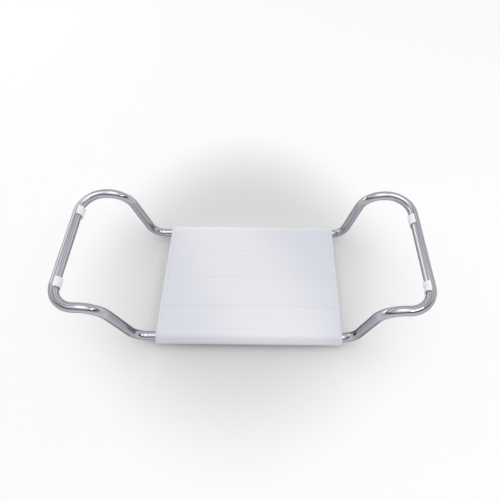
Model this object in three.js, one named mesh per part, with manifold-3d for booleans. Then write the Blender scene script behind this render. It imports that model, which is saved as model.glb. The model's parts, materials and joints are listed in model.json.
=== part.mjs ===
// Bath seat that hangs between the two rims of a bathtub.
// A deck of four hollow plastic planks carries two guide tubes, and a bent chromed
// side frame slides into them from each end, so that the width follows the bath.
// Millimetres and degrees. +X to the user's right, +Y to the rear, +Z up.

import * as THREE from 'three';
import { mergeVertices } from 'three/addons/utils/BufferGeometryUtils.js';
import Module from 'manifold-3d';

const wasm = await Module();
wasm.setup();

// Clearances
const SEAT_CLEARANCE = 0.3;
const SLIDE_CLEARANCE = 0.3;
const CUT_OVERRUN = 5;
const MERGE_TOLERANCE = 0.001;

// Side frames: one bent tube each
const TUBE_DIAMETER = 19;
const TUBE_WALL = 1.5;
const TUBE_SPACING = 269.4;
const ARM_LENGTH = 140;
const LOW_BEND_RADIUS = 36;
const RISER_ANGLE = 79.4;
const RISER_LENGTH = 86.5;
const HIGH_BEND_RADIUS = 47;
const RUN_LENGTH = 4.5;
const CORNER_RADIUS = 48.8;
const LEFT_DRAW = 20;
const RIGHT_DRAW = 0;
const BEND_INSET = 4;

// Guide tubes, mouth bushes and arm glides
const GUIDE_WALL = 1.25;
const BUSH_WALL = 1.45;
const BUSH_LENGTH = 22;
const BUSH_FLANGE = 2;
const GUIDE_INSET = 15;
const GLIDE_HEAD_LENGTH = 12;
const GLIDE_STEM_LENGTH = 15;
const GLIDE_CHAMFER = 1.5;

// Deck of planks
const SEAT_WIDTH = 400;
const MIDDLE_PLANK_WIDTH = 68.5;
const DECK_THICKNESS = 20;
const PLANK_WALL = 2.5;
const PLANK_RIB = 2;
const PLANK_EDGE_RADIUS = 2.2;
const CHAMBER_CORNER = 1.2;
const NOSE_WALL = 3.6;
const TONGUE_REACH = 3;
const TONGUE_THICKNESS = 3;
const MIDDLE_CHAMBERS = 3;
const NOSE_CHAMBERS = 2;

// End caps
const CAP_LENGTH = 9;
const CAP_EDGE_RADIUS = 2.6;
const CAP_HOLE_MARGIN = 0.8;
const SPIGOT_LENGTH = 10;

// Cross bars and their screws
const BAR_PLACE_SHARE = 0.46;
const BAR_WIDTH = 30;
const BAR_HEIGHT = 8;
const BAR_WALL = 2;
const SCREW_DIAMETER = 4;
const SCREW_LENGTH = 12;
const SCREW_POINT = 3;
const SCREW_HEAD_DIAMETER = 8;
const SCREW_HEAD_HEIGHT = 2.4;
const SCREW_CROWN_SHARE = 0.6;

// Clamp knobs, studs and weld nuts
const LOCK_INSET = 60;
const STUD_DIAMETER = 6;
const STUD_CHAMFER = 0.8;
const NUT_ACROSS_FLATS = 12;
const NUT_PROUD = 0.6;
const KNOB_GAP = 1.3;
const KNOB_NECK_DIAMETER = 12;
const KNOB_NECK_HEIGHT = 1;
const KNOB_HEAD_DIAMETER = 18;
const KNOB_HEAD_HEIGHT = 8;
const KNOB_LOBE_DEPTH = 1.2;
const KNOB_LOBES = 6;
const KNOB_EDGE_RADIUS = 1;
const KNOB_SOCKET_DEPTH = 6.5;

// Rim pads
const PAD_LENGTH = 22;
const PAD_WALL = 2.8;
const PAD_FOOT_WIDTH = 16;
const PAD_FOOT_DROP = 3.2;
const PAD_EDGE = 0.8;
const PAD_TOP_LIP_ANGLE = 105;
const PAD_OUTER_LIP_ANGLE = -12;
const PAD_INNER_BLEND_ANGLE = 205;
const PAD_OUTER_BLEND_ANGLE = -25;

// Places of the pads' middles, as shares of half the rim bar's straight
const PAD_PLACE_SHARES = {
  left_front: 1,
  left_rear: 0.98,
  right_front: 1.02,
  right_rear: 0.79,
};

// Facets
const TUBE_SIDES = 16;
const TUBE_BORE_SIDES = 10;
const BEND_STEPS = 8;
const ARC_STEPS = 10;
const EDGE_STEPS = 3;
const KNOB_SIDES = 36;
const NUT_SIDES = 6;

// Sizes that follow from the ones above
const TUBE_RADIUS = TUBE_DIAMETER / 2;
const HALF_SPACING = TUBE_SPACING / 2;
const HALF_BAR = HALF_SPACING - CORNER_RADIUS;
const BUSH_BORE_RADIUS = TUBE_RADIUS + SLIDE_CLEARANCE;
const BUSH_RADIUS = BUSH_BORE_RADIUS + BUSH_WALL;
const GUIDE_BORE_RADIUS = BUSH_RADIUS + SEAT_CLEARANCE;
const GUIDE_RADIUS = GUIDE_BORE_RADIUS + GUIDE_WALL;
const NOSE_BORE_RADIUS = GUIDE_RADIUS + SEAT_CLEARANCE;
const NOSE_RADIUS = NOSE_BORE_RADIUS + NOSE_WALL;
const AXIS_HEIGHT = -NOSE_RADIUS;
const HALF_SEAT = SEAT_WIDTH / 2;
const PLANK_LENGTH = SEAT_WIDTH - 2 * (CAP_LENGTH + SEAT_CLEARANCE);
const GUIDE_LENGTH = SEAT_WIDTH - 2 * GUIDE_INSET;
const BEND_START = HALF_SEAT - BEND_INSET;
const TONGUE_HEIGHT = -DECK_THICKNESS / 2;
const GROOVE_DEPTH = TONGUE_REACH + SEAT_CLEARANCE;
const GROOVE_HALF = TONGUE_THICKNESS / 2 + SEAT_CLEARANCE;
const SIDE_WALL = GROOVE_DEPTH + PLANK_WALL;
const LOCK_PLACE = HALF_SEAT - LOCK_INSET;
const STUD_RADIUS = STUD_DIAMETER / 2;
const STUD_HOLE_RADIUS = STUD_RADIUS + SEAT_CLEARANCE;
const NUT_RADIUS = NUT_ACROSS_FLATS / Math.sqrt(3);
const NUT_HOLE_RADIUS = NUT_RADIUS + SEAT_CLEARANCE;
const NUT_BOTTOM = AXIS_HEIGHT - NOSE_RADIUS - NUT_PROUD;
const KNOB_TOP = AXIS_HEIGHT - NOSE_RADIUS - KNOB_GAP;
const KNOB_BOTTOM = KNOB_TOP - KNOB_NECK_HEIGHT - KNOB_HEAD_HEIGHT;
const SCREW_HOLE_RADIUS = SCREW_DIAMETER / 2 + SEAT_CLEARANCE;
const BAR_PLACE = HALF_SEAT * BAR_PLACE_SHARE;
const BAR_TOP = -DECK_THICKNESS - SEAT_CLEARANCE;
const SCREW_SEAT = BAR_TOP - BAR_WALL - SEAT_CLEARANCE;

// Materials
function plastic(color, roughness) {
  return new THREE.MeshStandardMaterial({ color, roughness, metalness: 0 });
}

function metal(color, roughness) {
  return new THREE.MeshStandardMaterial({ color, roughness, metalness: 1 });
}

const chrome = metal(0xc9cdd4, 0.08);
const zincSteel = metal(0xa9adb3, 0.35);
const deckWhite = plastic(0xe6e8f1, 0.28);
const padWhite = plastic(0xeeeff2, 0.45);
const bushGrey = plastic(0xb9bcc0, 0.5);
const knobGrey = plastic(0x5c6066, 0.45);

// Shared shape helpers
function toSolid(geometry) {
  const bare = geometry.clone();
  bare.deleteAttribute('normal');
  bare.deleteAttribute('uv');
  const merged = mergeVertices(bare, MERGE_TOLERANCE);
  const vertProperties = new Float32Array(merged.attributes.position.array);
  const triVerts = new Uint32Array(merged.index.array);
  return new wasm.Manifold(new wasm.Mesh({ numProp: 3, vertProperties, triVerts }));
}

function toGeometry(solid) {
  const mesh = solid.getMesh();
  const geometry = new THREE.BufferGeometry();
  geometry.setAttribute('position', new THREE.BufferAttribute(mesh.vertProperties, 3));
  geometry.setIndex(new THREE.BufferAttribute(mesh.triVerts, 1));
  return geometry;
}

function cutAll(geometry, tools) {
  const result = tools.reduce((solid, tool) => solid.subtract(toSolid(tool)), toSolid(geometry));
  return toGeometry(result);
}

function joinAll(geometries) {
  const [first, ...rest] = geometries;
  return toGeometry(rest.reduce((solid, added) => solid.add(toSolid(added)), toSolid(first)));
}

const X_AXIS = new THREE.Vector3(1, 0, 0);
const Y_AXIS = new THREE.Vector3(0, 1, 0);
const Z_AXIS = new THREE.Vector3(0, 0, 1);

// A section drawn in Y and Z and drawn out along X, centred on X = 0.
const SECTION_ALONG_X = new THREE.Matrix4().makeBasis(Y_AXIS, Z_AXIS, X_AXIS);

// A section drawn in X and Z and drawn out along Y, centred on Y = 0.
const SECTION_ALONG_Y = new THREE.Matrix4().makeBasis(X_AXIS, Z_AXIS, Y_AXIS.clone().negate());

function extruded(shape, length, matrix, options = {}) {
  const settings = { bevelEnabled: false, curveSegments: TUBE_SIDES / 2, ...options };
  const geometry = new THREE.ExtrudeGeometry(shape, { depth: length, ...settings });
  geometry.translate(0, 0, -length / 2);
  return matrix ? geometry.applyMatrix4(matrix) : geometry;
}

function rod(radius, length, axis) {
  const geometry = new THREE.CylinderGeometry(radius, radius, length, TUBE_SIDES);
  const turn = new THREE.Quaternion().setFromUnitVectors(Y_AXIS, axis);
  return geometry.applyQuaternion(turn);
}

// A turned piece whose profile is listed as [radius, height along the axis].
function turned(profile, axis) {
  const points = profile.map(([radius, height]) => new THREE.Vector2(radius, height));
  const geometry = new THREE.LatheGeometry([...points, points[0]], TUBE_SIDES);
  const turn = new THREE.Quaternion().setFromUnitVectors(Y_AXIS, axis);
  return geometry.applyQuaternion(turn);
}

function arcPoints(centreX, centreY, radius, from, to, steps) {
  return Array.from({ length: steps + 1 }, (_, step) => {
    const angle = THREE.MathUtils.degToRad(from + (to - from) * step / steps);
    return new THREE.Vector2(centreX + radius * Math.cos(angle), centreY + radius * Math.sin(angle));
  });
}

// A rectangle with its corners cut off, from (left, bottom) to (right, top).
function chamberPath(left, right, bottom, top, corner) {
  const side = Math.sign(right - left) * corner;
  const points = [
    [left + side, bottom], [right - side, bottom], [right, bottom + corner], [right, top - corner],
    [right - side, top], [left + side, top], [left, top - corner], [left, bottom + corner],
  ];
  return new THREE.Path(points.map(([x, y]) => new THREE.Vector2(x, y)));
}

const bathSeat = new THREE.Group();

function addPiece(parent, name, geometry, material) {
  const mesh = new THREE.Mesh(geometry, material);
  mesh.name = name;
  parent.add(mesh);
  return mesh;
}

// Centre line of a bent tube: straights and bends, with a station at each end and facet.
class BentPath extends THREE.Curve {
  constructor(start, heading) {
    super();
    this.stations = [{ point: start.clone(), tangent: heading.clone() }];
  }

  straight(length) {
    const { point, tangent } = this.stations.at(-1);
    this.stations.push({ point: point.clone().addScaledVector(tangent, length), tangent: tangent.clone() });
    return this;
  }

  bend(radius, degrees, axis) {
    const { point, tangent } = this.stations.at(-1);
    const inward = axis.clone().cross(tangent).multiplyScalar(Math.sign(degrees));
    const centre = point.clone().addScaledVector(inward, radius);
    for (let step = 1; step <= BEND_STEPS; step += 1) {
      const angle = THREE.MathUtils.degToRad(degrees * step / BEND_STEPS);
      const turnedPoint = point.clone().sub(centre).applyAxisAngle(axis, angle).add(centre);
      this.stations.push({ point: turnedPoint, tangent: tangent.clone().applyAxisAngle(axis, angle) });
    }
    return this;
  }

  station(t) {
    return this.stations[Math.round(t * (this.stations.length - 1))];
  }

  getPoint(t) {
    return this.station(t).point.clone();
  }

  getTangent(t) {
    return this.station(t).tangent.clone();
  }

  getUtoTmapping(u) {
    return u;
  }

  get steps() {
    return this.stations.length - 1;
  }
}

function ringShape(radius, boreRadius) {
  const shape = new THREE.Shape(arcPoints(0, 0, radius, 0, 360, TUBE_SIDES).slice(1));
  if (boreRadius) {
    shape.holes.push(new THREE.Path(arcPoints(0, 0, boreRadius, 0, 360, TUBE_BORE_SIDES).slice(1)));
  }
  return shape;
}

function sweptTube(path, radius, boreRadius) {
  const shape = ringShape(radius, boreRadius);
  return new THREE.ExtrudeGeometry(shape, { steps: path.steps, extrudePath: path });
}

// Side frame path, from the front arm's inner end round the rim bar to the rear arm's.
// It is drawn for the right-hand side with the frame pushed home.
function frameArm(path, towardsRim) {
  const tilt = -RISER_ANGLE;
  if (towardsRim) {
    return path.straight(ARM_LENGTH).bend(LOW_BEND_RADIUS, tilt, Y_AXIS).straight(RISER_LENGTH)
      .bend(HIGH_BEND_RADIUS, -tilt, Y_AXIS).straight(RUN_LENGTH);
  }
  return path.straight(RUN_LENGTH).bend(HIGH_BEND_RADIUS, tilt, Y_AXIS).straight(RISER_LENGTH)
    .bend(LOW_BEND_RADIUS, -tilt, Y_AXIS).straight(ARM_LENGTH);
}

function sideFramePath() {
  const start = new THREE.Vector3(BEND_START - ARM_LENGTH, -HALF_SPACING, AXIS_HEIGHT);
  const path = frameArm(new BentPath(start, X_AXIS), true);
  path.bend(CORNER_RADIUS, 90, Z_AXIS).straight(2 * HALF_BAR);
  return frameArm(path.bend(CORNER_RADIUS, 90, Z_AXIS), false);
}

// The rim bar is the path's furthest and highest stretch.
const FRAME_PATH = sideFramePath();
const RIM_BAR_X = Math.max(...FRAME_PATH.stations.map(({ point }) => point.x));
const RIM_BAR_HEIGHT = Math.max(...FRAME_PATH.stations.map(({ point }) => point.z));

// Rim pad: a clip that wraps the bar from its top round the inner side to a flat foot.
function rimPad(y) {
  const boreRadius = TUBE_RADIUS + SEAT_CLEARANCE;
  const outer = boreRadius + PAD_WALL;
  const footHeight = -(boreRadius + PAD_FOOT_DROP);
  const outline = [
    new THREE.Vector2(0, 0),
    ...arcPoints(0, 0, outer, PAD_TOP_LIP_ANGLE, PAD_INNER_BLEND_ANGLE, ARC_STEPS),
    new THREE.Vector2(-PAD_FOOT_WIDTH / 2, footHeight),
    new THREE.Vector2(PAD_FOOT_WIDTH / 2, footHeight),
    ...arcPoints(0, 0, outer, PAD_OUTER_BLEND_ANGLE, PAD_OUTER_LIP_ANGLE, 1),
  ];
  const bevel = {
    bevelEnabled: true,
    bevelThickness: PAD_EDGE,
    bevelSize: PAD_EDGE,
    bevelOffset: -PAD_EDGE,
    bevelSegments: 1,
  };
  const block = extruded(new THREE.Shape(outline), PAD_LENGTH - 2 * PAD_EDGE, SECTION_ALONG_Y, bevel);
  block.translate(RIM_BAR_X, y, RIM_BAR_HEIGHT);
  return cutAll(block, [sweptTube(FRAME_PATH, boreRadius)]);
}

// Arm glide: a plug in the arm's open end whose head runs in the guide tube.
function armGlide(y) {
  const boreFlat = (TUBE_RADIUS - TUBE_WALL) * Math.cos(Math.PI / TUBE_BORE_SIDES);
  const stem = boreFlat - SEAT_CLEARANCE;
  const head = GUIDE_BORE_RADIUS - SLIDE_CLEARANCE;
  const profile = [
    [0, -GLIDE_HEAD_LENGTH],
    [head - GLIDE_CHAMFER, -GLIDE_HEAD_LENGTH],
    [head, GLIDE_CHAMFER - GLIDE_HEAD_LENGTH],
    [head, -SEAT_CLEARANCE],
    [stem, -SEAT_CLEARANCE],
    [stem, GLIDE_STEM_LENGTH - GLIDE_CHAMFER],
    [stem - GLIDE_CHAMFER, GLIDE_STEM_LENGTH],
    [0, GLIDE_STEM_LENGTH],
  ];
  return turned(profile, X_AXIS).translate(BEND_START - ARM_LENGTH, y, AXIS_HEIGHT);
}

// One side frame with what is fixed to it; the left one is the same piece turned round.
function addSideFrame(side, draw) {
  const frame = new THREE.Group();
  const isLeft = side === 'left';
  const ends = isLeft ? { near: 'rear', far: 'front' } : { near: 'front', far: 'rear' };
  addPiece(frame, `${side}_side_frame`, sweptTube(FRAME_PATH, TUBE_RADIUS, TUBE_RADIUS - TUBE_WALL), chrome);
  addPiece(frame, `${side}_${ends.near}_arm_glide`, armGlide(-HALF_SPACING), bushGrey);
  addPiece(frame, `${side}_${ends.far}_arm_glide`, armGlide(HALF_SPACING), bushGrey);
  const padPlace = (end) => HALF_BAR * PAD_PLACE_SHARES[`${side}_${end}`];
  addPiece(frame, `${side}_${ends.near}_rim_pad`, rimPad(-padPlace(ends.near)), padWhite);
  addPiece(frame, `${side}_${ends.far}_rim_pad`, rimPad(padPlace(ends.far)), padWhite);
  frame.rotation.z = isLeft ? Math.PI : 0;
  frame.position.x = isLeft ? -draw : draw;
  bathSeat.add(frame);
}

// Chambers of a hollow plank between two places across the deck.
function chamberSpans(from, to, count) {
  const width = (to - from - (count - 1) * PLANK_RIB) / count;
  return Array.from({ length: count }, (_, index) => {
    const start = from + index * (width + PLANK_RIB);
    return [start, start + width];
  });
}

// Chambers of a middle plank, measured from its front joint, and of the rear nose plank,
// measured from the deck's middle. The wall beside a joint is thick enough for the groove.
const MIDDLE_SPANS = chamberSpans(SIDE_WALL, MIDDLE_PLANK_WIDTH - SIDE_WALL, MIDDLE_CHAMBERS);
const NOSE_SPANS = chamberSpans(
  MIDDLE_PLANK_WIDTH + SIDE_WALL,
  HALF_SPACING - NOSE_BORE_RADIUS - PLANK_WALL,
  NOSE_CHAMBERS,
);
const CHAMBER_TOP = -PLANK_WALL;
const CHAMBER_BOTTOM = PLANK_WALL - DECK_THICKNESS;

// Corner points of the tongue (reach out) or groove (reach in) on a joint face, going up.
function jointPoints(face, outward, isTongue) {
  const half = isTongue ? TONGUE_THICKNESS / 2 : GROOVE_HALF;
  const reach = face + outward * (isTongue ? TONGUE_REACH : -GROOVE_DEPTH);
  const low = TONGUE_HEIGHT - half;
  const high = TONGUE_HEIGHT + half;
  return [[face, low], [reach, low], [reach, high], [face, high]].map(([y, z]) => new THREE.Vector2(y, z));
}

// Middle plank lying from its front face to its rear face, tongue to the front.
function middlePlankShape(frontJoint) {
  const front = frontJoint + SEAT_CLEARANCE / 2;
  const rear = frontJoint + MIDDLE_PLANK_WIDTH - SEAT_CLEARANCE / 2;
  const radius = PLANK_EDGE_RADIUS;
  const shape = new THREE.Shape([
    ...jointPoints(front, -1, true),
    ...arcPoints(front + radius, -radius, radius, 180, 90, EDGE_STEPS),
    ...arcPoints(rear - radius, -radius, radius, 90, 0, EDGE_STEPS),
    ...jointPoints(rear, 1, false).reverse(),
    new THREE.Vector2(rear, -DECK_THICKNESS),
    new THREE.Vector2(front, -DECK_THICKNESS),
  ]);
  shape.holes = MIDDLE_SPANS.map(([from, to]) => (
    chamberPath(frontJoint + from, frontJoint + to, CHAMBER_BOTTOM, CHAMBER_TOP, CHAMBER_CORNER)
  ));
  return shape;
}

// Outline round the nose, from the deck's top to its underside, as distances from the middle.
function nosePoints() {
  const meets = THREE.MathUtils.radToDeg(Math.asin((DECK_THICKNESS - NOSE_RADIUS) / NOSE_RADIUS));
  return arcPoints(HALF_SPACING, AXIS_HEIGHT, NOSE_RADIUS, 90, meets - 180, 2 * ARC_STEPS);
}

// Front or rear plank: a deck with a round nose that holds a guide tube.
function nosePlankShape(sign) {
  const inner = MIDDLE_PLANK_WIDTH + SEAT_CLEARANCE / 2;
  const radius = PLANK_EDGE_RADIUS;
  const outline = [
    ...jointPoints(inner, -1, sign > 0),
    ...arcPoints(inner + radius, -radius, radius, 180, 90, EDGE_STEPS),
    ...nosePoints(),
    new THREE.Vector2(inner, -DECK_THICKNESS),
  ];
  const bore = arcPoints(HALF_SPACING, AXIS_HEIGHT, NOSE_BORE_RADIUS, 0, 360, TUBE_SIDES).slice(1);
  const place = (points) => points.map(({ x, y }) => new THREE.Vector2(sign * x, y));
  const shape = new THREE.Shape(place(outline));
  shape.holes = NOSE_SPANS.map(([from, to]) => (
    chamberPath(sign * from, sign * to, CHAMBER_BOTTOM, CHAMBER_TOP, CHAMBER_CORNER)
  ));
  shape.holes.push(new THREE.Path(place(bore)));
  return shape;
}

// Places of the bar screws across the deck, one under the middle of each plank's flat part.
const SCREW_PLACES = [-1, 1].flatMap((sign) => [
  sign * (NOSE_SPANS[0][0] + NOSE_SPANS[0][1]) / 2,
  sign * MIDDLE_PLANK_WIDTH / 2,
]).sort((a, b) => a - b);

function screwHoles(places, height, depth) {
  return places.flatMap((y) => [-BAR_PLACE, BAR_PLACE].map((x) => (
    rod(SCREW_HOLE_RADIUS, depth, Z_AXIS).translate(x, y, height)
  )));
}

function addPlank(name, shape, extraCuts, screwPlaces) {
  const block = extruded(shape, PLANK_LENGTH, SECTION_ALONG_X);
  const holes = screwHoles(screwPlaces, CHAMBER_BOTTOM - PLANK_WALL / 2, PLANK_WALL + CUT_OVERRUN);
  addPiece(bathSeat, name, cutAll(block, [...holes, ...extraCuts]), deckWhite);
}

// Holes in a nose's underside for the weld nuts of the clamp knobs.
function nutHoles(sign) {
  return [-LOCK_PLACE, LOCK_PLACE].map((x) => (
    rod(NUT_HOLE_RADIUS, NOSE_RADIUS, Z_AXIS)
      .translate(x, sign * HALF_SPACING, AXIS_HEIGHT - NOSE_RADIUS)
  ));
}

function addDeck() {
  const [frontScrew, frontMiddleScrew, rearMiddleScrew, rearScrew] = SCREW_PLACES;
  addPlank('front_plank', nosePlankShape(-1), nutHoles(-1), [frontScrew]);
  addPlank('front_middle_plank', middlePlankShape(-MIDDLE_PLANK_WIDTH), [], [frontMiddleScrew]);
  addPlank('rear_middle_plank', middlePlankShape(0), [], [rearMiddleScrew]);
  addPlank('rear_plank', nosePlankShape(1), nutHoles(1), [rearScrew]);
}

// End cap: the deck's whole outline, closed, with a spigot in every chamber.
function capOutline() {
  const rear = nosePoints();
  const front = nosePoints().map(({ x, y }) => new THREE.Vector2(-x, y)).reverse();
  return new THREE.Shape([...rear, ...front]);
}

function spigot(from, to) {
  const gap = SEAT_CLEARANCE;
  const section = chamberPath(from + gap, to - gap, CHAMBER_BOTTOM + gap, CHAMBER_TOP - gap, CHAMBER_CORNER);
  const length = SPIGOT_LENGTH + CAP_LENGTH / 2;
  const x = HALF_SEAT - CAP_LENGTH / 2 - length / 2;
  return extruded(new THREE.Shape(section.getPoints()), length, SECTION_ALONG_X).translate(x, 0, 0);
}

function endCap() {
  const edge = CAP_EDGE_RADIUS;
  const bevel = {
    bevelEnabled: true,
    bevelThickness: edge,
    bevelSize: edge,
    bevelOffset: -edge,
    bevelSegments: EDGE_STEPS,
  };
  const body = extruded(capOutline(), CAP_LENGTH, SECTION_ALONG_X, bevel);
  body.translate(HALF_SEAT - edge - CAP_LENGTH / 2, 0, 0);
  const depth = TUBE_SPACING + 2 * NOSE_RADIUS + CUT_OVERRUN;
  const innerSide = new THREE.BoxGeometry(CAP_LENGTH, depth, 2 * NOSE_RADIUS + CUT_OVERRUN);
  innerSide.translate(HALF_SEAT - CAP_LENGTH - CAP_LENGTH / 2, 0, AXIS_HEIGHT);
  const middle = [-MIDDLE_PLANK_WIDTH, 0].flatMap((joint) => (
    MIDDLE_SPANS.map(([from, to]) => [joint + from, joint + to])
  ));
  const noses = NOSE_SPANS.flatMap(([from, to]) => [[from, to], [-to, -from]]);
  const spigots = [...middle, ...noses].map(([from, to]) => spigot(from, to));
  const armHoles = [-HALF_SPACING, HALF_SPACING].map((y) => (
    rod(TUBE_RADIUS + CAP_HOLE_MARGIN, CAP_LENGTH + CUT_OVERRUN, X_AXIS)
      .translate(HALF_SEAT - CAP_LENGTH / 2, y, AXIS_HEIGHT)
  ));
  return cutAll(joinAll([cutAll(body, [innerSide]), ...spigots]), armHoles);
}

function addEndCaps() {
  addPiece(bathSeat, 'right_end_cap', endCap(), deckWhite);
  addPiece(bathSeat, 'left_end_cap', endCap(), deckWhite).rotation.z = Math.PI;
}

// Guide tube through a nose, drilled for the studs, with a bush in each mouth.
function guideTube(sign) {
  const shape = new THREE.Shape(arcPoints(0, 0, GUIDE_RADIUS, 0, 360, TUBE_SIDES).slice(1));
  shape.holes = [new THREE.Path(arcPoints(0, 0, GUIDE_BORE_RADIUS, 0, 360, TUBE_SIDES).slice(1))];
  const tube = extruded(shape, GUIDE_LENGTH, SECTION_ALONG_X).translate(0, sign * HALF_SPACING, AXIS_HEIGHT);
  const studHoles = [-LOCK_PLACE, LOCK_PLACE].map((x) => (
    rod(STUD_HOLE_RADIUS, GUIDE_RADIUS, Z_AXIS)
      .translate(x, sign * HALF_SPACING, AXIS_HEIGHT - GUIDE_RADIUS)
  ));
  return cutAll(tube, studHoles);
}

function mouthBush(side, sign) {
  const profile = [
    [BUSH_BORE_RADIUS, -BUSH_LENGTH],
    [BUSH_RADIUS, -BUSH_LENGTH],
    [BUSH_RADIUS, SEAT_CLEARANCE],
    [GUIDE_RADIUS, SEAT_CLEARANCE],
    [GUIDE_RADIUS, SEAT_CLEARANCE + BUSH_FLANGE],
    [BUSH_BORE_RADIUS, SEAT_CLEARANCE + BUSH_FLANGE],
  ];
  const outward = X_AXIS.clone().multiplyScalar(side);
  return turned(profile, outward).translate(side * GUIDE_LENGTH / 2, sign * HALF_SPACING, AXIS_HEIGHT);
}

// Weld nut: a hexagon whose saddle fits the guide tube's underside.
function weldNut(x, sign) {
  const saddleRadius = GUIDE_RADIUS + SEAT_CLEARANCE;
  const height = AXIS_HEIGHT - Math.sqrt(saddleRadius ** 2 - NUT_RADIUS ** 2) - NUT_BOTTOM;
  const nut = new THREE.CylinderGeometry(NUT_RADIUS, NUT_RADIUS, height, NUT_SIDES);
  nut.applyQuaternion(new THREE.Quaternion().setFromUnitVectors(Y_AXIS, Z_AXIS));
  nut.translate(x, sign * HALF_SPACING, NUT_BOTTOM + height / 2);
  const saddle = rod(saddleRadius, 2 * NUT_RADIUS + CUT_OVERRUN, X_AXIS);
  saddle.translate(x, sign * HALF_SPACING, AXIS_HEIGHT);
  const bore = rod(STUD_HOLE_RADIUS, 2 * height + CUT_OVERRUN, Z_AXIS);
  bore.translate(x, sign * HALF_SPACING, NUT_BOTTOM);
  return cutAll(nut, [saddle, bore]);
}

// Clamp stud, from just under the side frame's arm down into the knob.
function clampStud(x, sign) {
  const top = AXIS_HEIGHT - TUBE_RADIUS - SEAT_CLEARANCE;
  const bottom = KNOB_TOP - KNOB_SOCKET_DEPTH + SEAT_CLEARANCE;
  const profile = [
    [0, bottom],
    [STUD_RADIUS, bottom],
    [STUD_RADIUS, top - STUD_CHAMFER],
    [STUD_RADIUS - STUD_CHAMFER, top],
    [0, top],
  ];
  return turned(profile, Z_AXIS).translate(x, sign * HALF_SPACING, 0);
}

// Clamp knob: a lobed head under a neck, with a blind socket for the stud.
function clampKnob(x, sign) {
  const radius = KNOB_HEAD_DIAMETER / 2 - KNOB_LOBE_DEPTH / 2;
  const outline = Array.from({ length: KNOB_SIDES }, (_, index) => {
    const angle = 2 * Math.PI * index / KNOB_SIDES;
    const reach = radius + KNOB_LOBE_DEPTH / 2 * Math.cos(KNOB_LOBES * angle);
    return new THREE.Vector2(reach * Math.cos(angle), reach * Math.sin(angle));
  });
  const edge = KNOB_EDGE_RADIUS;
  const bevel = {
    bevelEnabled: true,
    bevelThickness: edge,
    bevelSize: edge,
    bevelOffset: -edge,
    bevelSegments: 1,
  };
  const head = extruded(new THREE.Shape(outline), KNOB_HEAD_HEIGHT - 2 * edge, null, bevel);
  head.translate(0, 0, KNOB_BOTTOM + KNOB_HEAD_HEIGHT / 2);
  const neck = rod(KNOB_NECK_DIAMETER / 2, 2 * KNOB_NECK_HEIGHT, Z_AXIS);
  neck.translate(0, 0, KNOB_TOP - KNOB_NECK_HEIGHT);
  const socket = rod(STUD_RADIUS + SEAT_CLEARANCE, 2 * KNOB_SOCKET_DEPTH, Z_AXIS).translate(0, 0, KNOB_TOP);
  return cutAll(joinAll([head, neck]), [socket]).translate(x, sign * HALF_SPACING, 0);
}

// Cross bar: a steel channel under the deck, open downwards, drilled for a screw a plank.
function crossBar(x) {
  const half = BAR_WIDTH / 2;
  const bottom = BAR_TOP - BAR_HEIGHT;
  const web = BAR_TOP - BAR_WALL;
  const points = [
    [-half, BAR_TOP], [half, BAR_TOP], [half, bottom], [half - BAR_WALL, bottom],
    [half - BAR_WALL, web], [BAR_WALL - half, web], [BAR_WALL - half, bottom], [-half, bottom],
  ];
  const shape = new THREE.Shape(points.map(([y, z]) => new THREE.Vector2(y, z)));
  const nose = Math.sqrt(NOSE_RADIUS ** 2 - (BAR_TOP - AXIS_HEIGHT) ** 2);
  const length = 2 * (HALF_SPACING - nose - 2 * SEAT_CLEARANCE);
  const bar = extruded(shape, length, SECTION_ALONG_Y).translate(x, 0, 0);
  const holes = SCREW_PLACES.map((y) => (
    rod(SCREW_HOLE_RADIUS, BAR_WALL + CUT_OVERRUN, Z_AXIS).translate(x, y, BAR_TOP - BAR_WALL / 2)
  ));
  return cutAll(bar, holes);
}

function barScrew(x, y) {
  const radius = SCREW_DIAMETER / 2;
  const head = SCREW_HEAD_DIAMETER / 2;
  const profile = [
    [0, -SCREW_HEAD_HEIGHT],
    [head * SCREW_CROWN_SHARE, -SCREW_HEAD_HEIGHT],
    [head, -SCREW_HEAD_HEIGHT / 2],
    [head, 0],
    [radius, 0],
    [radius, SCREW_LENGTH - SCREW_POINT],
    [0, SCREW_LENGTH],
  ];
  return turned(profile, Z_AXIS).translate(x, y, SCREW_SEAT);
}

function addUnderside() {
  for (const [side, sideSign] of [['left', -1], ['right', 1]]) {
    const barX = sideSign * BAR_PLACE;
    addPiece(bathSeat, `${side}_cross_bar`, crossBar(barX), zincSteel);
    SCREW_PLACES.forEach((y, index) => {
      addPiece(bathSeat, `${side}_bar_screw_${index + 1}`, barScrew(barX, y), zincSteel);
    });
  }
}

function addGuidesAndLocks() {
  for (const [end, endSign] of [['front', -1], ['rear', 1]]) {
    addPiece(bathSeat, `${end}_guide_tube`, guideTube(endSign), zincSteel);
    for (const [side, sideSign] of [['left', -1], ['right', 1]]) {
      const corner = `${side}_${end}`;
      const lockX = sideSign * LOCK_PLACE;
      addPiece(bathSeat, `${corner}_mouth_bush`, mouthBush(sideSign, endSign), bushGrey);
      addPiece(bathSeat, `${corner}_weld_nut`, weldNut(lockX, endSign), zincSteel);
      addPiece(bathSeat, `${corner}_clamp_stud`, clampStud(lockX, endSign), zincSteel);
      addPiece(bathSeat, `${corner}_clamp_knob`, clampKnob(lockX, endSign), knobGrey);
    }
  }
}

addDeck();
addEndCaps();
addUnderside();
addGuidesAndLocks();
addSideFrame('left', LEFT_DRAW);
addSideFrame('right', RIGHT_DRAW);

// The origin is the middle of the whole object's box, at the surface it stands on.
bathSeat.position.set((LEFT_DRAW - RIGHT_DRAW) / 2, 0, -KNOB_BOTTOM);
bathSeat.updateMatrixWorld(true);

export default bathSeat;
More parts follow.
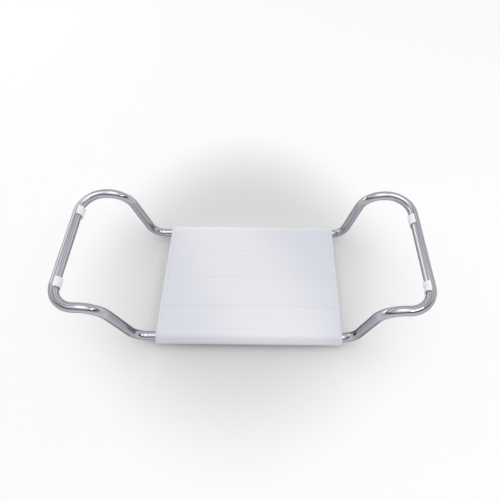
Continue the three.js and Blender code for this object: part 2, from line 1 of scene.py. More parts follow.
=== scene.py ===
# %% [markdown]
# A bath seat
#
# Four hollow planks of glossy white plastic make the deck. A bent, chromed steel tube
# slides into the deck from each end and rises to a level bar, the rim bar, which rests on
# two white clips. So the deck hangs lower than the feet that carry it. Clamp knobs under
# the deck hold the tubes at the width that they are drawn out to.
#
# The sizes are settled already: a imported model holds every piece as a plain, faceted
# solid. This lesson puts a finished shape over most of them, gives every piece a surface,
# and then sets up the floor, the light and the camera. It never moves or resizes a piece.

# %% Load the frame
import json
import math

import bmesh
import bpy
from mathutils import Matrix, Vector


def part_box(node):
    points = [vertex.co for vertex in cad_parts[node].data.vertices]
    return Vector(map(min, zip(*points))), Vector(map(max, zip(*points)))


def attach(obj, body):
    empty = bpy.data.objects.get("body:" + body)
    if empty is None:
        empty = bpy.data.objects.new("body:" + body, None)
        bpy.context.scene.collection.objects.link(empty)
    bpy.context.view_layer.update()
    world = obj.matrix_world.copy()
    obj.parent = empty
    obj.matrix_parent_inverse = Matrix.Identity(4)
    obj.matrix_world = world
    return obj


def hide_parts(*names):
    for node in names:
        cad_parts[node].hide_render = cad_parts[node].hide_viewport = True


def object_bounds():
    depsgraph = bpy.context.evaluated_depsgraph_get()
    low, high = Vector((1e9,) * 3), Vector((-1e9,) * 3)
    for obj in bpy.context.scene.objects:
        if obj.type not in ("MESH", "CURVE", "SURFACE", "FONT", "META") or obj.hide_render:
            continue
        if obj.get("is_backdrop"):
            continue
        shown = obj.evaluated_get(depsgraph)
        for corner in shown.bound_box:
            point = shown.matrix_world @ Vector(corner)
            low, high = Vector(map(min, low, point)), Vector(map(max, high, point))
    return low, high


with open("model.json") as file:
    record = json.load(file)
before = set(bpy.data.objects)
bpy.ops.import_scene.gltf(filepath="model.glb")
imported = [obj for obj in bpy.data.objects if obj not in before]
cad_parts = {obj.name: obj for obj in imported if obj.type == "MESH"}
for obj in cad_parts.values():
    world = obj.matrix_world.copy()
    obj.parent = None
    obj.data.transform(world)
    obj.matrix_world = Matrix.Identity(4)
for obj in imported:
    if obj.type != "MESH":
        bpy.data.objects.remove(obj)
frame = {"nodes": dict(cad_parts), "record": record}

solid_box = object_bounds()

# %% [markdown]
# Sizes
#
# A maker would read the main places off the drawing. Here they are read off the packed
# solids, so that a finished piece always lands on its solid. The sizes that a box can't
# tell, such as a wall or a bend radius, are repeated as named values in millimetres.
#
# The solids leave 0.3 mm between neighbours. On the real deck the planks are pressed
# together, so the shown gap is much finer, or each joint would be drawn as a black line.

# %% Measure the solids
MM = 0.001

seat_low, seat_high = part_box("front_middle_plank")
DECK_TOP = seat_high.z
DECK_BOTTOM = seat_low.z
PLANK_LEFT = seat_low.x
PLANK_RIGHT = seat_high.x
JOINT_GAP = 0.3 * MM
SEEN_GAP = 0.04 * MM
MIDDLE_PLANK = seat_high.y - seat_low.y + JOINT_GAP

nose_low, nose_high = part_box("rear_plank")
NOSE_RADIUS = (nose_high.z - nose_low.z) / 2
NOSE_BACK = nose_high.y
AXIS_Y = NOSE_BACK - NOSE_RADIUS
AXIS_Z = DECK_TOP - NOSE_RADIUS

frame_low, frame_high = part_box("right_side_frame")
TUBE_RADIUS = 9.5 * MM
TUBE_WALL = 1.5 * MM
BAR_X = frame_high.x - TUBE_RADIUS
BAR_Z = frame_high.z - TUBE_RADIUS
ARM_END = frame_low.x

print(f"deck top {DECK_TOP / MM:.1f}, nose radius {NOSE_RADIUS / MM:.2f} mm")
print(f"tube axis at y {AXIS_Y / MM:.2f}, z {AXIS_Z / MM:.2f} mm")
print(f"rim bar at x {BAR_X / MM:.2f}, z {BAR_Z / MM:.2f} mm")

# %% [markdown]
# Putting a piece on show
#
# Every piece goes through the same few steps: make an object of the mesh, let it ride on
# its body, name the finish it takes, and hide the solid it stands for. One function does
# all of them, so that no piece can miss a step.
#
# Broad smooth shading makes flat faces look swollen next to a rounded edge. Marking the
# sharp edges and then weighting the normals by face size keeps the flats flat.

# %% Show a piece
finishes = {}


def soften(mesh, sharp_degrees=35):
    """Smooth shading that stops at edges sharper than the angle."""
    mesh.shade_smooth()
    mesh.set_sharp_from_angle(angle=math.radians(sharp_degrees))


def show(node, mesh, slot, body, matrix=None):
    """Shows mesh in place of the node's solid and lets it ride on the body."""
    if matrix is not None:
        mesh = mesh.copy()
        mesh.transform(matrix)
        if matrix.determinant() < 0:
            mesh.flip_normals()
    soften(mesh)
    mesh.name = node + "_piece"
    piece = bpy.data.objects.new(node + "_piece", mesh)
    bpy.context.scene.collection.objects.link(piece)
    piece.data.materials.append(finishes[slot])
    weighted = piece.modifiers.new("flat faces stay flat", "WEIGHTED_NORMAL")
    weighted.keep_sharp = True
    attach(piece, body)
    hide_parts(node)
    return piece


# %% [markdown]
# Surface finishes
#
# Each finish is a small node tree on the standard surface shader. A texture drives the
# roughness and a slight bump, and where the real surface varies in tone, the colour too.
# The texture is laid out in the object's own space, so it keeps its scale on every piece
# and needs no unwrapping. Two steps come back in several of them, and in the light: a
# smooth rise from one value to another, and a blend of two colours. They get a function
# each.
#
# The roughness of a finish stays on one side of about 0.27. The renderer's denoiser takes
# what is smoother for a mirror and what is rougher for a dull surface, and a finish that
# wanders across that value comes out blotchy.

# %% Rise smoothly and blend colours
def smooth_rise(tree, value, start, end):
    """Rises from 0 to 1 while value goes from start to end."""
    rise = tree.nodes.new("ShaderNodeMapRange")
    rise.interpolation_type = "SMOOTHSTEP"
    rise.inputs["From Min"].default_value = start
    rise.inputs["From Max"].default_value = end
    tree.links.new(value, rise.inputs["Value"])
    return rise.outputs["Result"]


def colour_blend(tree, factor, first, second):
    """Goes from the first colour to the second. Each is a colour or a node's output."""
    mix = tree.nodes.new("ShaderNodeMix")
    mix.data_type = "RGBA"
    tree.links.new(factor, mix.inputs[0])
    for socket, colour in ((mix.inputs[6], first), (mix.inputs[7], second)):
        if isinstance(colour, tuple):
            socket.default_value = (*colour, 1)
        else:
            tree.links.new(colour, socket)
    return mix.outputs[2]


# %% A blank finish to start from
class Finish:
    """A material with its shader, and short ways to add textures to it."""

    def __init__(self, name, colour, roughness, metallic=0.0):
        self.material = bpy.data.materials.new(name)
        self.material.use_nodes = True
        self.tree = self.material.node_tree
        self.nodes = self.tree.nodes
        self.links = self.tree.links
        self.shader = self.nodes["Principled BSDF"]
        self.shader.inputs["Base Color"].default_value = (*colour, 1)
        self.shader.inputs["Roughness"].default_value = roughness
        self.shader.inputs["Metallic"].default_value = metallic

    def space(self, stretch=(1, 1, 1)):
        """Object space in metres, stretched per axis."""
        place = self.nodes.new("ShaderNodeTexCoord")
        mapping = self.nodes.new("ShaderNodeMapping")
        mapping.inputs["Scale"].default_value = stretch
        self.links.new(place.outputs["Object"], mapping.inputs["Vector"])
        return mapping.outputs["Vector"]

    def noise(self, size, detail=2, stretch=(1, 1, 1)):
        """Noise whose blobs are about size metres across."""
        texture = self.nodes.new("ShaderNodeTexNoise")
        texture.inputs["Scale"].default_value = 1 / size
        texture.inputs["Detail"].default_value = detail
        self.links.new(self.space(stretch), texture.inputs["Vector"])
        return texture.outputs["Fac"]

    def cells(self, size):
        """Cells about size metres across, for grained or spangled surfaces."""
        texture = self.nodes.new("ShaderNodeTexVoronoi")
        texture.inputs["Scale"].default_value = 1 / size
        self.links.new(self.space(), texture.inputs["Vector"])
        return texture

    def spread(self, value, low, high):
        """Maps a texture's middle range to low and high."""
        scale = self.nodes.new("ShaderNodeMapRange")
        scale.inputs["From Min"].default_value = 0.3
        scale.inputs["From Max"].default_value = 0.7
        scale.inputs["To Min"].default_value = low
        scale.inputs["To Max"].default_value = high
        self.links.new(value, scale.inputs["Value"])
        return scale.outputs["Result"]

    def roughness(self, value, low, high):
        self.links.new(self.spread(value, low, high), self.shader.inputs["Roughness"])

    def colours(self, factor, first, second):
        """Lets the colour go from the first tone to the second."""
        blend = colour_blend(self.tree, factor, first, second)
        self.links.new(blend, self.shader.inputs["Base Color"])

    def tone(self, value, dark, light):
        """Lets the colour drift between two close tones with a texture."""
        self.colours(self.spread(value, 0, 1), dark, light)

    def bumps(self, *layers):
        """Stacks bump layers, each a texture value with its depth in metres."""
        normal = None
        for value, depth in layers:
            bump = self.nodes.new("ShaderNodeBump")
            bump.inputs["Distance"].default_value = depth
            bump.inputs["Strength"].default_value = 1
            self.links.new(value, bump.inputs["Height"])
            if normal is not None:
                self.links.new(normal, bump.inputs["Normal"])
            normal = bump.outputs["Normal"]
        self.links.new(normal, self.shader.inputs["Normal"])


# %% [markdown]
# Chrome is almost a mirror, so most of its look is what stands around it. What makes it
# read as a real tube is that the mirror isn't perfect: the plating follows the slight
# waviness of drawn and bent steel, and handling leaves faint, duller patches.
#
# A chromed tube shows a soft dark line along both edges, where it mirrors what is dark
# behind it. The light set up below is pale there, so the shader's specular tint, which
# dims a metal where it is seen at a glancing angle, draws that line instead.

# %% Chrome on the tubes
def chrome_plate():
    finish = Finish("chrome plate", (0.49, 0.50, 0.535), 0.05, metallic=1)
    finish.shader.inputs["Specular Tint"].default_value = (0.18, 0.18, 0.2, 1)
    finish.roughness(finish.noise(14 * MM, detail=5), 0.02, 0.05)
    waviness = finish.noise(9 * MM, detail=1)
    drawn_lines = finish.noise(0.5 * MM, detail=2)
    finish.bumps((waviness, 0.03 * MM), (drawn_lines, 0.0003 * MM))
    return finish.material


finishes["chrome_tube"] = chrome_plate()

# %% [markdown]
# The deck is extruded plastic, white with a cold, slightly violet cast. It is glossy but
# broad in its reflections. Extrusion leaves very fine lines along the plank, which is why
# the noise is stretched along X, and cooling leaves a slow unevenness. The colour also has
# painted light in it: a paler streak, a painted sheen, runs across the deck at a slant, and
# both ends are painted a little darker as painted shade. Both come from the distance to a
# slanted line through the middle.

# %% Glossy white plastic on the deck
# slant of the painted sheen across the deck
PAINTED_SHEEN_SLANT = (1, 0.5, 0)


def deck_plastic():
    finish = Finish("deck plastic", (0.80, 0.805, 0.85), 0.3)
    finish.shader.inputs["Coat Weight"].default_value = 0.25
    finish.shader.inputs["Coat Roughness"].default_value = 0.14
    across = finish.nodes.new("ShaderNodeVectorMath")
    across.operation = "DOT_PRODUCT"
    across.inputs[1].default_value = PAINTED_SHEEN_SLANT
    finish.links.new(finish.space(), across.inputs[0])
    away = finish.nodes.new("ShaderNodeMath")
    away.operation = "ABSOLUTE"
    finish.links.new(across.outputs["Value"], away.inputs[0])
    # painted sheen near the slanted line, painted shade towards both ends of the deck
    painted_light_blend = smooth_rise(finish.tree, away.outputs[0], 30 * MM, 200 * MM)
    finish.colours(painted_light_blend, (0.79, 0.79, 0.83), (0.685, 0.70, 0.765))
    finish.roughness(finish.noise(2.5 * MM, detail=3), 0.285, 0.33)
    lines = finish.noise(1.2 * MM, detail=2, stretch=(0.02, 1, 1))
    slow = finish.noise(45 * MM, detail=1)
    finish.bumps((slow, 0.008 * MM), (lines, 0.001 * MM))
    return finish.material


finishes["deck_plastic"] = deck_plastic()

# %% [markdown]
# The clips on the rim bars are moulded from a plainer, softer white plastic. Moulding
# leaves a fine spark-eroded grain and a satin surface, so the bump is small and even.

# %% Satin white plastic on the clips
def pad_plastic():
    finish = Finish("clip plastic", (0.92, 0.92, 0.94), 0.42)
    finish.tone(finish.noise(8 * MM, detail=3), (0.90, 0.90, 0.925), (0.93, 0.93, 0.945))
    finish.roughness(finish.noise(3 * MM, detail=3), 0.38, 0.48)
    finish.bumps((finish.noise(0.35 * MM, detail=2), 0.012 * MM))
    return finish.material


finishes["pad_plastic"] = pad_plastic()

# %% [markdown]
# The bushes and glides that the tubes run in are grey nylon, waxy and slightly mottled.

# %% Grey nylon on the bushes and glides
def bush_plastic():
    finish = Finish("bush nylon", (0.70, 0.71, 0.73), 0.45)
    finish.tone(finish.noise(5 * MM, detail=3), (0.68, 0.69, 0.71), (0.72, 0.73, 0.75))
    finish.roughness(finish.noise(2 * MM, detail=2), 0.40, 0.52)
    finish.bumps((finish.noise(0.6 * MM, detail=2), 0.01 * MM))
    return finish.material


finishes["bush_plastic"] = bush_plastic()

# %% [markdown]
# The knobs are dark grey plastic with a leather-like grain for grip. A cell texture gives
# the pebbled surface that plain noise can't.

# %% Grained grey plastic on the knobs
def knob_plastic():
    finish = Finish("knob plastic", (0.36, 0.38, 0.41), 0.5)
    finish.tone(finish.noise(4 * MM, detail=3), (0.34, 0.36, 0.39), (0.38, 0.40, 0.43))
    grain = finish.cells(0.45 * MM)
    finish.roughness(finish.noise(2 * MM), 0.42, 0.58)
    finish.bumps((grain.outputs["Distance"], 0.04 * MM), (finish.noise(0.2 * MM), 0.01 * MM))
    return finish.material


finishes["knob_plastic"] = knob_plastic()

# %% [markdown]
# The steel that nobody sees is zinc plated: a cold grey with pale, angular spangles and a
# dull shine. The screws and studs are plain stainless, with fine turning marks.

# %% Zinc and stainless on the hidden steel
def zinc_steel():
    finish = Finish("zinc plate", (0.62, 0.63, 0.66), 0.35, metallic=1)
    spangle = finish.cells(2.5 * MM)
    finish.tone(spangle.outputs["Color"], (0.55, 0.57, 0.60), (0.68, 0.69, 0.71))
    finish.roughness(finish.noise(6 * MM, detail=4), 0.29, 0.45)
    finish.bumps((finish.noise(0.8 * MM, detail=3), 0.01 * MM))
    return finish.material


def screw_steel():
    finish = Finish("stainless", (0.66, 0.66, 0.68), 0.25, metallic=1)
    finish.roughness(finish.noise(1.5 * MM, detail=3), 0.2, 0.26)
    finish.bumps((finish.noise(0.25 * MM, detail=2, stretch=(1, 1, 6)), 0.004 * MM))
    return finish.material


finishes["zinc_steel"] = zinc_steel()
finishes["screw_steel"] = screw_steel()
print("finishes:", ", ".join(finishes))

# %% [markdown]
# The side frames
#
# Each frame is one 19 mm tube: along the front arm, up a riser, over a corner, along the
# rim bar, and down again. It could be drawn as a curve with a round bevel. A sweep of my
# own keeps the tube hollow and gives exact control of the bends: it walks the centre line
# as straights and bends, carries a section along, and joins the rings.
#
# Bending flattens a tube a little, and the tighter the bend the more. That bends its
# reflections as well, so the sweep presses the section in, most on the inside of a bend.

# %% Walk a centre line and sweep a section along it
BEND_STEPS = 28
TUBE_SIDES = 64
CRUSH_LENGTH = 3.6 * MM
CRUSH_ONSET = 0.6
OUTER_CRUSH = 0.35


def walk(point, turn, moves):
    """Stations (point, turn, crush) along straights and bends.

    turn's columns are side, up and ahead. crush points to the inside of a bend and is as
    long as the share by which the tube is flattened there.
    """
    stations = [(point, turn, Vector((0, 0, 0)))]
    for move in moves:
        point, turn, crush = stations[-1]
        if len(move) == 1:
            stations.append((point + turn.col[2] * move[0], turn, crush))
            continue
        radius, degrees, axis = move
        inward = axis.cross(turn.col[2]) * math.copysign(1, degrees)
        centre = point + inward * radius
        most = CRUSH_LENGTH / radius
        for step in range(1, BEND_STEPS + 1):
            spin = Matrix.Rotation(math.radians(degrees * step / BEND_STEPS), 3, axis)
            last = step == BEND_STEPS
            amount = 0 if last else most * math.sin(math.pi * step / BEND_STEPS) ** CRUSH_ONSET
            stations.append((centre + spin @ (point - centre), spin @ turn, spin @ inward * amount))
    return stations


def circle(radius, sides, start=0.0):
    angles = [start + 2 * math.pi * i / sides for i in range(sides)]
    return [(radius * math.cos(a), radius * math.sin(a)) for a in angles]


def crushed(arm, crush):
    """Moves a point of the section towards the tube's axis, most on a bend's inside."""
    amount = crush.length
    if amount == 0:
        return arm
    inward = crush.normalized()
    depth = arm.dot(inward)
    share = amount if depth > 0 else amount * OUTER_CRUSH
    return arm - inward * depth * share


def rings_along(stations, section):
    """The section carried to every station."""
    def ring(point, turn, crush):
        return [point + crushed(turn @ Vector((x, y, 0)), crush) for x, y in section]
    return [ring(*station) for station in stations]


def skin(rings, close=False, ends=False):
    """A mesh through rings of equal size. close joins last to first, ends fills both ends."""
    shape = bmesh.new()
    rows = [[shape.verts.new(p) for p in ring] for ring in rings]
    pairs = list(zip(rows, rows[1:]))
    if close:
        pairs.append((rows[-1], rows[0]))
    for low, high in pairs:
        for i in range(len(low)):
            shape.faces.new((low[i - 1], low[i], high[i], high[i - 1]))
    if ends:
        shape.faces.new(list(reversed(rows[0])))
        shape.faces.new(rows[-1])
    bmesh.ops.recalc_face_normals(shape, faces=shape.faces)
    mesh = bpy.data.meshes.new("skin")
    shape.to_mesh(mesh)
    shape.free()
    return mesh


# %% Bend the right frame's tube
X, Y, Z = Vector((1, 0, 0)), Vector((0, 1, 0)), Vector((0, 0, 1))
ARM = 140 * MM
LOW_BEND = 36 * MM
RISER_DEGREES = 79.4
RISER = 86.5 * MM
HIGH_BEND = 47 * MM
RUN = 4.5 * MM
CORNER = 48.8 * MM
HALF_BAR = AXIS_Y - CORNER

ALONG_X = Matrix((Y, Z, X)).transposed()
arm_up = [(ARM,), (LOW_BEND, -RISER_DEGREES, Y), (RISER,), (HIGH_BEND, RISER_DEGREES, Y), (RUN,)]
arm_down = [(RUN,), (HIGH_BEND, -RISER_DEGREES, Y), (RISER,), (LOW_BEND, RISER_DEGREES, Y), (ARM,)]
over_the_rim = [(CORNER, 90, Z), (2 * HALF_BAR,), (CORNER, 90, Z)]
frame_line = walk(Vector((ARM_END, -AXIS_Y, AXIS_Z)), ALONG_X, arm_up + over_the_rim + arm_down)

outside = rings_along(frame_line, circle(TUBE_RADIUS, TUBE_SIDES))
inside = rings_along(frame_line, circle(TUBE_RADIUS - TUBE_WALL, TUBE_SIDES))
frame_tube = skin(outside + inside[::-1], close=True)

HALF_TURN = Matrix.Rotation(math.pi, 4, "Z")
left_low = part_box("left_side_frame")[0]
TO_LEFT = Matrix.Translation((left_low.x + frame_high.x, 0, 0)) @ HALF_TURN
show("right_side_frame", frame_tube, "chrome_tube", "right_frame")
show("left_side_frame", frame_tube, "chrome_tube", "left_frame", TO_LEFT)
reach = max(point.x for point, turn, crush in frame_line)
print(f"rim bar at x {reach / MM:.2f} mm, {len(frame_tube.vertices)} points")

# %% [markdown]
# The rim clips
#
# A clip snaps on from below and inside: it wraps the bar from its top, round the side
# that faces the deck, to a flat foot, and leaves the bar bare on the upper outside. The
# clip's section is drawn once and swept along the bar, so that it follows the start of
# the corner. A bevel then takes the edge off every corner, as a mould does.

# %% Draw the clip's section
PAD_GAP = 0.3 * MM
PAD_WALL = 2.8 * MM
FOOT_HALF = 8 * MM
FOOT_DROP = 3.2 * MM
TOP_LIP_DEGREES = 105
OUTER_LIP_DEGREES = -12
INNER_BLEND_DEGREES = 205
OUTER_BLEND_DEGREES = -25


def arc(centre, radius, start, end, steps):
    """Points on an arc, in degrees, both ends included."""
    angles = [math.radians(start + (end - start) * i / steps) for i in range(steps + 1)]
    return [(centre[0] + radius * math.cos(a), centre[1] + radius * math.sin(a)) for a in angles]


def clip_section():
    """Section seen with the deck to the left and up as up, going round once."""
    bore = TUBE_RADIUS + PAD_GAP
    foot = -(bore + FOOT_DROP)
    skirt = arc((0, 0), bore + PAD_WALL, TOP_LIP_DEGREES, INNER_BLEND_DEGREES, 26)
    sole = [(-FOOT_HALF, foot), (FOOT_HALF, foot)]
    lip = arc((0, 0), bore + PAD_WALL, OUTER_BLEND_DEGREES, OUTER_LIP_DEGREES, 3)
    seat = arc((0, 0), bore, OUTER_LIP_DEGREES, TOP_LIP_DEGREES - 360, 48)
    return skirt + sole + lip + seat


# %% Sweep the clips along the bar
PAD_LENGTH = 22 * MM
PAD_STEPS = 4
PAD_EDGE = 0.9 * MM


def clip_line(place):
    """Stations under a clip whose middle is at place along the bar."""
    start = place - PAD_LENGTH / 2
    straight = min(PAD_LENGTH, HALF_BAR - start)
    moves = [(straight / PAD_STEPS,)] * PAD_STEPS
    if straight < PAD_LENGTH:
        moves.append((CORNER, math.degrees((PAD_LENGTH - straight) / CORNER), Z))
    ahead = Matrix((X, Z, Y)).transposed()
    return walk(Vector((BAR_X, start, BAR_Z)), ahead, moves)


def round_edges(piece, name, width, segments, degrees):
    """Bevels every edge that is sharper than the angle."""
    bevel = piece.modifiers.new(name, "BEVEL")
    bevel.width = width
    bevel.segments = segments
    bevel.limit_method = "ANGLE"
    bevel.angle_limit = math.radians(degrees)


def add_clip(side, end):
    low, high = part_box(f"{side}_{end}_rim_pad")
    clip = skin(rings_along(clip_line(abs(low.y + high.y) / 2), clip_section()), ends=True)
    turn = TO_LEFT if side == "left" else Matrix.Identity(4)
    mirrored = (side == "left") == (end == "rear")
    flip = Matrix.Diagonal((1, -1, 1, 1)) if mirrored else Matrix.Identity(4)
    piece = show(f"{side}_{end}_rim_pad", clip, "pad_plastic", f"{side}_frame", turn @ flip)
    round_edges(piece, "moulded edges", PAD_EDGE, segments=3, degrees=30)
    piece.modifiers.move(1, 0)


SIDES = ("left", "right")
ENDS = ("front", "rear")
for side in SIDES:
    for end in ENDS:
        add_clip(side, end)
print("clips:", len(clip_section()), "points round the section")

# %% [markdown]
# The planks
#
# A plank is an extrusion, so a flat outline with holes says all about it. A filled curve
# takes outline and holes, and pushes them out to length with a slightly rounded end. The
# curve is then turned into a mesh. Towards a joint the top dips by about a millimetre in
# a soft wave, so two planks together make the shallow trough that crosses the deck.
#
# The noses are half rounds, but their top turns down a little earlier than a circle
# would. Drawing the upper quarter of the round in towards the middle of the deck does
# that, and leaves the tip and the underside where they are.

# %% Extrude an outline with holes
def spline(curve, points):
    """Adds a closed outline of straight steps."""
    line = curve.splines.new("POLY")
    line.points.add(len(points) - 1)
    for place, (x, y) in zip(line.points, points):
        place.co = (x, y, 0, 1)
    line.use_cyclic_u = True


def extrusion(outline, holes, length, edge, matrix):
    """A filled outline pushed out to length, half each way, with its ends rounded by edge."""
    curve = bpy.data.curves.new("outline", "CURVE")
    curve.dimensions = "2D"
    curve.fill_mode = "BOTH"
    for points in (outline, *holes):
        spline(curve, points)
    curve.extrude = length / 2 - edge
    curve.bevel_depth = edge
    curve.bevel_resolution = 3
    curve.offset = -edge
    holder = bpy.data.objects.new("outline", curve)
    bpy.context.scene.collection.objects.link(holder)
    bpy.context.view_layer.update()
    ready = holder.evaluated_get(bpy.context.evaluated_depsgraph_get())
    mesh = bpy.data.meshes.new_from_object(ready)
    bpy.data.objects.remove(holder)
    bpy.data.curves.remove(curve)
    shape = bmesh.new()
    shape.from_mesh(mesh)
    bmesh.ops.remove_doubles(shape, verts=shape.verts, dist=0.001 * MM)
    bmesh.ops.transform(shape, matrix=matrix, verts=shape.verts)
    bmesh.ops.recalc_face_normals(shape, faces=shape.faces)
    shape.to_mesh(mesh)
    shape.free()
    return mesh


# %% Draw the planks
WALL = 2.5 * MM
RIB = 2 * MM
TROUGH = 4.4 * MM
TROUGH_FLOOR = 0.2
TROUGH_DEPTH = 1.1 * MM
TROUGH_STEPS = 8
TONGUE = 3 * MM
CHAMBER_ROUND = 1.2 * MM
NOSE_BORE = 13.1 * MM
NOSE_ROLL = 7.3 * MM
END_EDGE = 0.25 * MM
TONGUE_Z = (DECK_TOP + DECK_BOTTOM) / 2
SIDE_WALL = TONGUE + JOINT_GAP + WALL


def joint_steps(face, outward, tongue):
    """Corners of a tongue, or of the groove that takes it, going up."""
    half = TONGUE / 2 + (0 if tongue else JOINT_GAP)
    tip = face + outward * (TONGUE if tongue else -(TONGUE + JOINT_GAP))
    low, high = TONGUE_Z - half, TONGUE_Z + half
    return [(face, low), (tip, low), (tip, high), (face, high)]


def chamber(start, end):
    """A hollow between two places across the deck, with rounded corners."""
    r = CHAMBER_ROUND
    low, high = DECK_BOTTOM + WALL, DECK_TOP - WALL
    corners = [(end - r, low + r), (end - r, high - r), (start + r, high - r), (start + r, low + r)]
    return [point for centre, degrees in zip(corners, (270, 0, 90, 180))
            for point in arc(centre, r, degrees, degrees + 90, 3)]


def chambers(start, end, count):
    """That many equal hollows between two places, with a rib between neighbours."""
    width = (end - start - (count - 1) * RIB) / count
    starts = [start + i * (width + RIB) for i in range(count)]
    return [chamber(place, place + width) for place in starts]


def trough(edge, inward):
    """Half of the shallow trough over a joint, from the joint's face to the flat top."""
    flat = TROUGH * TROUGH_FLOOR
    points = [(edge, DECK_TOP - TROUGH_DEPTH)]
    for i in range(TROUGH_STEPS + 1):
        t = i / TROUGH_STEPS
        rise = TROUGH_DEPTH * (0.5 - 0.5 * math.cos(math.pi * t))
        points.append((edge + inward * (flat + (TROUGH - flat) * t), DECK_TOP - TROUGH_DEPTH + rise))
    return points


def middle_plank(joint):
    """Outline and chambers of the plank whose front joint is there."""
    front, rear = joint + SEEN_GAP / 2, joint + MIDDLE_PLANK - SEEN_GAP / 2
    outline = joint_steps(front, -1, True) + trough(front, 1) + trough(rear, -1)[::-1]
    outline += joint_steps(rear, 1, False)[::-1] + [(rear, DECK_BOTTOM), (front, DECK_BOTTOM)]
    return outline, chambers(joint + SIDE_WALL, joint + MIDDLE_PLANK - SIDE_WALL, 3)


def nose_arc():
    """Round the rear nose, from the deck's top to its underside."""
    def roll(y, z):
        """How far the upper quarter is drawn in towards the deck's middle."""
        return NOSE_ROLL * (1 - (y - AXIS_Y) / NOSE_RADIUS) if z > AXIS_Z else 0
    meets = math.degrees(math.asin((DECK_BOTTOM - AXIS_Z) / NOSE_RADIUS))
    points = arc((AXIS_Y, AXIS_Z), NOSE_RADIUS, 90, -180 - meets, 64)
    return [(y - roll(y, z), z) for y, z in points]


def nose_plank(sign):
    """Outline, chambers and bore of the front (-1) or rear (1) plank."""
    inner = MIDDLE_PLANK + SEEN_GAP / 2
    outline = joint_steps(inner, -1, sign > 0) + trough(inner, 1)
    outline += nose_arc() + [(inner, DECK_BOTTOM)]
    holes = chambers(MIDDLE_PLANK + SIDE_WALL, AXIS_Y - NOSE_BORE - WALL, 2)
    holes.append([(AXIS_Y + y, AXIS_Z + z) for y, z in circle(NOSE_BORE, 48)])
    outline, *holes = [[(sign * y, z) for y, z in points] for points in (outline, *holes)]
    return outline, holes


# %% [markdown]
# Cutting and turning
#
# Two shop operations come back again and again. Drilling is subtracting one closed shape
# from another. Turning spins a profile of radius and height round an axis. A drill is
# simply a turned cylinder, so the two go together.

# %% Cut one shape from another
NEAR_AXIS = 0.01 * MM


def cut(mesh, tools):
    """Subtracts closed meshes from mesh and returns the result."""
    bodies = [bpy.data.objects.new("cut", m) for m in (mesh, *tools)]
    for body in bodies:
        bpy.context.scene.collection.objects.link(body)
    for tool in bodies[1:]:
        step = bodies[0].modifiers.new("cut", "BOOLEAN")
        step.operation = "DIFFERENCE"
        step.solver = "EXACT"
        step.object = tool
    bpy.context.view_layer.update()
    ready = bodies[0].evaluated_get(bpy.context.evaluated_depsgraph_get())
    result = bpy.data.meshes.new_from_object(ready)
    for body in bodies:
        bpy.data.objects.remove(body)
    return result


def turned(profile, matrix=None, sides=64):
    """A turned shape round Z from (radius, height) points that close on themselves."""
    rings = [[Vector((x, y, height)) for x, y in circle(1, sides)] for radius, height in profile]
    for ring, (radius, height) in zip(rings, profile):
        for point in ring:
            point.x *= radius
            point.y *= radius
    mesh = skin(rings, close=True)
    if matrix is not None:
        mesh.transform(matrix)
    return mesh


def drill(radius, place, low, high):
    """A cylinder to cut a hole with, standing at place from low to high."""
    profile = [(NEAR_AXIS, low), (radius, low), (radius, high), (NEAR_AXIS, high)]
    return turned(profile, Matrix.Translation((place.x, place.y, 0)), sides=48)


def middle(node):
    low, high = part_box(node)
    return (low + high) / 2


# %% [markdown]
# The noses are drilled from below for the weld nuts of the clamps, and every plank for
# its two screws. The holes are found from the solids that go through them.

# %% Extrude the planks
PLANK_LENGTH = PLANK_RIGHT - PLANK_LEFT
SEAT_MIDDLE = (PLANK_LEFT + PLANK_RIGHT) / 2
ACROSS = Matrix.Translation((SEAT_MIDDLE, 0, 0)) @ ALONG_X.to_4x4()
plank_sections = {
    "front_plank": nose_plank(-1),
    "front_middle_plank": middle_plank(-MIDDLE_PLANK),
    "rear_middle_plank": middle_plank(0),
    "rear_plank": nose_plank(1),
}
NUT_HOLE = 12 * MM / math.sqrt(3) + JOINT_GAP
SCREW_HOLE = 2.3 * MM


def plank_drills(node):
    """Cutters for the screws and nuts under one plank."""
    number = list(plank_sections).index(node) + 1
    top = DECK_BOTTOM + WALL + 1 * MM
    screws = [middle(f"{side}_bar_screw_{number}") for side in SIDES]
    end = node.removesuffix("_plank")
    nuts = [middle(f"{side}_{end}_weld_nut") for side in SIDES if end in ENDS]
    return [drill(SCREW_HOLE, at, 0, top) for at in screws] + [
        drill(NUT_HOLE, at, 0, AXIS_Z) for at in nuts]


for node, (outline, holes) in plank_sections.items():
    plank = cut(extrusion(outline, holes, PLANK_LENGTH, END_EDGE, ACROSS), plank_drills(node))
    show(node, plank, "deck_plastic", "seat")
    print(node, len(plank.vertices), "points")

# %% [markdown]
# The end caps
#
# A cap closes all four planks at once and follows the deck's whole outline. Its outer
# edge is well rounded, because a leg can brush it. The tubes pass through two round
# holes. Here the same extrusion is made twice as thick as needed and its inner half cut
# away, which leaves one rounded face and one flat one, and the holes are cut last. The
# solid also has spigots that reach into the planks. They never show and aren't drawn.

# %% Shape the end caps
CAP_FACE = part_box("right_end_cap")[1].x
CAP_BACK = PLANK_RIGHT + SEEN_GAP
CAP_EDGE = 3.4 * MM
ARM_HOLE = TUBE_RADIUS + 0.8 * MM
HOLE_EDGE = 0.5 * MM
OVERRUN = 5 * MM


def cap_outline():
    rear = nose_arc()
    front = [(-y, z) for y, z in rear[::-1]]
    return rear + front


def slice_off(mesh, x):
    """Cuts away everything below x and closes the cut."""
    shape = bmesh.new()
    shape.from_mesh(mesh)
    everything = shape.verts[:] + shape.edges[:] + shape.faces[:]
    cut_here = bmesh.ops.bisect_plane(
        shape, geom=everything, plane_co=(x, 0, 0), plane_no=(1, 0, 0), clear_inner=True)
    rim = [item for item in cut_here["geom_cut"] if isinstance(item, bmesh.types.BMEdge)]
    bmesh.ops.holes_fill(shape, edges=rim)
    bmesh.ops.recalc_face_normals(shape, faces=shape.faces)
    shape.to_mesh(mesh)
    shape.free()


